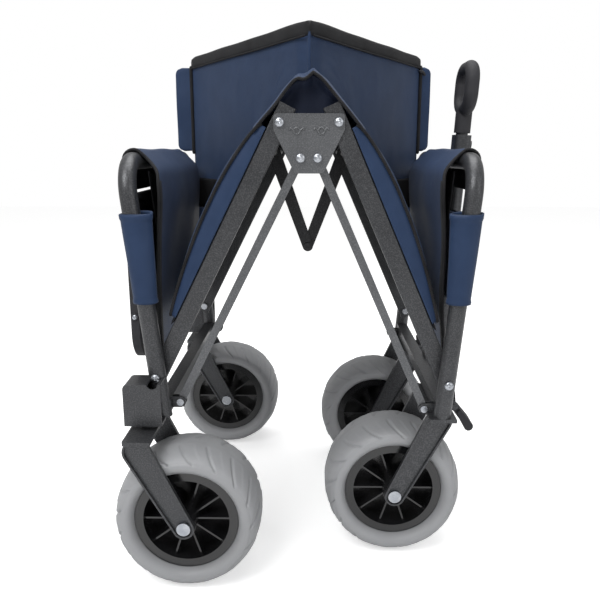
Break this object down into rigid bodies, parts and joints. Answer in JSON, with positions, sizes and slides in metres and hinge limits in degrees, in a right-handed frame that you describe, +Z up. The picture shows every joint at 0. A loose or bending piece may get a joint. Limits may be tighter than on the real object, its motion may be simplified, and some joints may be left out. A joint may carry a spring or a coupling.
{
  "type": "folding beach cart",
  "caption": "Folding beach cart with fat balloon wheels, swivel front casters, hinged side rails, fabric walls and a telescoping loop handle, shown partly folded.",
  "frame": {"origin": "on the floor, under the middle of the cart's box as drawn", "axes": "+X from the casters to the push handle, +Y from the open side to the raised side wall, +Z up"},
  "size_m": [0.6195, 0.683, 0.9],
  "materials": {
    "frame_paint": "hammertone grey powder coat",
    "bolt_steel": "bright zinc",
    "tyre": "satin grey balloon tyre",
    "rim": "glossy black",
    "black_plastic": "satin black",
    "floor_board": "black lining over a stiff board",
    "navy_fabric": "coated navy oxford weave",
    "black_fabric": "black webbing and lining"
  },
  "bodies": {
    "front_frame": {"front_frame_tube": "frame_paint", "front_cross_member": "frame_paint", "front_bolts": "bolt_steel", "caster_housing_near": "frame_paint", "caster_housing_far": "frame_paint", "front_end_wall": "navy_fabric", "front_leg_sleeves": "navy_fabric", "tray_brackets": "black_plastic"},
    "tray": {"front_tray": "black_plastic"},
    "front_rails": {"front_rail_near": "frame_paint", "front_rail_far": "frame_paint", "front_cross_tube": "frame_paint", "front_floor_board": "floor_board", "near_wall_front": "navy_fabric"},
    "front_lower_links": {"front_links": "frame_paint"},
    "centre": {"gusset_plate_near": "frame_paint", "gusset_plate_far": "frame_paint", "plate_rivets": "bolt_steel"},
    "rear_rails": {"rear_rail_near": "frame_paint", "rear_rail_far": "frame_paint", "rear_cross_tube": "frame_paint", "rear_floor_board": "floor_board", "near_wall_rear": "navy_fabric"},
    "rear_lower_links": {"rear_links": "frame_paint"},
    "brace_front": {"brace_arm_front": "frame_paint"},
    "brace_rear": {"brace_arm_rear": "frame_paint"},
    "rear_frame": {"rear_frame_tube": "frame_paint", "rear_cross_member": "frame_paint", "rear_bolts": "bolt_steel", "rear_end_wall": "navy_fabric", "rear_leg_sleeves": "navy_fabric", "rear_pocket": "navy_fabric", "handle_socket": "frame_paint", "rear_fork_near": "frame_paint", "rear_fork_far": "frame_paint", "rear_axles": "bolt_steel"},
    "push_handle": {"handle_tube": "frame_paint", "handle_grip": "black_plastic"},
    "button": {"release_button": "black_plastic"},
    "brake_near": {"brake_pedal_near": "black_plastic"},
    "brake_far": {"brake_pedal_far": "black_plastic"},
    "caster_near": {"caster_fork_near": "frame_paint", "caster_axle_near": "bolt_steel"},
    "caster_far": {"caster_fork_far": "frame_paint", "caster_axle_far": "bolt_steel"},
    "front_wheel_near": {"front_tyre_near": "tyre", "front_rim_near": "rim"},
    "front_wheel_far": {"front_tyre_far": "tyre", "front_rim_far": "rim"},
    "rear_wheel_near": {"rear_tyre_near": "tyre", "rear_rim_near": "rim"},
    "rear_wheel_far": {"rear_tyre_far": "tyre", "rear_rim_far": "rim"},
    "wall_strip_front": {"far_strip_front": "black_fabric"},
    "wall_front": {"far_wall_front": "navy_fabric"},
    "corner_front": {"far_corner_front": "black_fabric"},
    "wall_strip_rear": {"far_strip_rear": "black_fabric"},
    "wall_rear": {"far_wall_rear": "navy_fabric"},
    "corner_rear": {"far_corner_rear": "black_fabric"}
  },
  "joints": [
    {"name": "fold", "type": "hinge", "parent": "front_frame", "child": "front_rails", "pos_m": [-0.23898, 0, 0.347], "axis": [0, -1, 0], "range_deg": [-63.26, 0]},
    {"name": "front_plate_pivot", "type": "hinge", "parent": "front_rails", "child": "centre", "pos_m": [-0.03795, 0, 0.74602], "axis": [0, -1, 0], "range_deg": [-0.5, 63.76]},
    {"name": "rear_plate_pivot", "type": "hinge", "parent": "centre", "child": "rear_rails", "pos_m": [0.05205, 0, 0.74602], "axis": [0, -1, 0], "range_deg": [-0.5, 65.47]},
    {"name": "rear_leg_pivot", "type": "hinge", "parent": "rear_rails", "child": "rear_frame", "pos_m": [0.2321, 0, 0.3371], "axis": [0, -1, 0], "range_deg": [-65.47, 0.5]},
    {"name": "front_link_pivot", "type": "hinge", "parent": "front_frame", "child": "front_lower_links", "pos_m": [-0.20698, 0, 0.294], "axis": [0, -1, 0], "range_deg": [-63.76, 0.5]},
    {"name": "rear_link_pivot", "type": "hinge", "parent": "centre", "child": "rear_lower_links", "pos_m": [0.02005, 0, 0.69302], "axis": [0, -1, 0], "range_deg": [-0.5, 65.47]},
    {"name": "front_brace_pivot", "type": "hinge", "parent": "front_rails", "child": "brace_front", "pos_m": [-0.05999, 0, 0.70226], "axis": [0, -1, 0], "range_deg": [-0.5, 75.15]},
    {"name": "rear_brace_pivot", "type": "hinge", "parent": "rear_rails", "child": "brace_rear", "pos_m": [0.0718, 0, 0.70117], "axis": [0, -1, 0], "range_deg": [-76.77, 0.5]},
    {"name": "front_wall_lift", "type": "slide", "parent": "front_frame", "child": "wall_strip_front", "axis": [0, 0, 1], "range_m": [-0.213, 0.001]},
    {"name": "front_wall_fold", "type": "hinge", "parent": "wall_strip_front", "child": "wall_front", "pos_m": [-0.24994, 0.23, 0.583], "axis": [0, 0, -1], "range_deg": [-59.64, 0.5]},
    {"name": "front_corner_fold", "type": "hinge", "parent": "wall_front", "child": "corner_front", "pos_m": [-0.14881, 0.07492, 0.583], "axis": [0.3628, -0.607, 0.7071], "range_deg": [-150.5, 0.5], "deforming": ["far_corner_front"]},
    {"name": "rear_wall_lift", "type": "slide", "parent": "rear_frame", "child": "wall_strip_rear", "axis": [0, 0, 1], "range_m": [-0.213, 0.001]},
    {"name": "rear_wall_fold", "type": "hinge", "parent": "wall_strip_rear", "child": "wall_rear", "pos_m": [0.24507, 0.23, 0.583], "axis": [0, 0, 1], "range_deg": [-61.53, 0.5]},
    {"name": "rear_corner_fold", "type": "hinge", "parent": "wall_rear", "child": "corner_rear", "pos_m": [0.15882, 0.08915, 0.583], "axis": [0.3424, 0.6187, -0.7071], "range_deg": [-150.5, 0.5], "deforming": ["far_corner_rear"]},
    {"name": "tray_swing", "type": "hinge", "parent": "front_frame", "child": "tray", "pos_m": [-0.27895, 0, 0.627], "axis": [0, 1, 0], "range_deg": [0, 90]},
    {"name": "caster_swivel_near", "type": "hinge", "parent": "front_frame", "child": "caster_near", "pos_m": [-0.24974, -0.272, 0.268], "axis": [0, 0, 1], "continuous": true},
    {"name": "caster_swivel_far", "type": "hinge", "parent": "front_frame", "child": "caster_far", "pos_m": [-0.24974, 0.272, 0.268], "axis": [0, 0, 1], "continuous": true},
    {"name": "front_wheel_spin_near", "type": "hinge", "parent": "caster_near", "child": "front_wheel_near", "pos_m": [-0.18973, -0.272, 0.12], "axis": [0, 1, 0], "continuous": true},
    {"name": "front_wheel_spin_far", "type": "hinge", "parent": "caster_far", "child": "front_wheel_far", "pos_m": [-0.18973, 0.272, 0.12], "axis": [0, 1, 0], "continuous": true},
    {"name": "rear_wheel_spin_near", "type": "hinge", "parent": "rear_frame", "child": "rear_wheel_near", "pos_m": [0.15708, -0.167, 0.12], "axis": [0, 1, 0], "continuous": true},
    {"name": "rear_wheel_spin_far", "type": "hinge", "parent": "rear_frame", "child": "rear_wheel_far", "pos_m": [0.15708, 0.167, 0.12], "axis": [0, 1, 0], "continuous": true},
    {"name": "brake_rock_near", "type": "hinge", "parent": "rear_frame", "child": "brake_near", "pos_m": [0.26108, -0.167, 0.269], "axis": [0, 1, 0], "range_deg": [-12, 12]},
    {"name": "brake_rock_far", "type": "hinge", "parent": "rear_frame", "child": "brake_far", "pos_m": [0.26108, 0.167, 0.269], "axis": [0, 1, 0], "range_deg": [-12, 12]},
    {"name": "handle_extend", "type": "slide", "parent": "rear_frame", "child": "push_handle", "axis": [0.0499, 0, 0.9988], "range_m": [0, 0.3]},
    {"name": "button_press", "type": "slide", "parent": "rear_frame", "child": "button", "axis": [-0.9988, 0, 0.0499], "range_m": [0, 0.0027], "stiffness_N_per_m": 400}
  ],
  "couplings": [
    {"joint": "front_plate_pivot", "follows": "fold", "ratio": -1},
    {"joint": "rear_plate_pivot", "follows": "fold", "ratio": -1.027},
    {"joint": "rear_leg_pivot", "follows": "fold", "ratio": 1.027},
    {"joint": "front_link_pivot", "follows": "fold", "ratio": 1},
    {"joint": "rear_link_pivot", "follows": "fold", "ratio": -1.027},
    {"joint": "front_brace_pivot", "follows": "fold", "ratio": -1.1801},
    {"joint": "rear_brace_pivot", "follows": "fold", "ratio": 1.2057},
    {"joint": "front_wall_lift", "follows": "fold", "m_per_rad": 0.19201},
    {"joint": "front_wall_fold", "follows": "fold", "ratio": 0.9348},
    {"joint": "front_corner_fold", "follows": "fold", "ratio": 2.3712},
    {"joint": "rear_wall_lift", "follows": "fold", "m_per_rad": 0.19201},
    {"joint": "rear_wall_fold", "follows": "fold", "ratio": 0.9648},
    {"joint": "rear_corner_fold", "follows": "fold", "ratio": 2.3712}
  ]
}
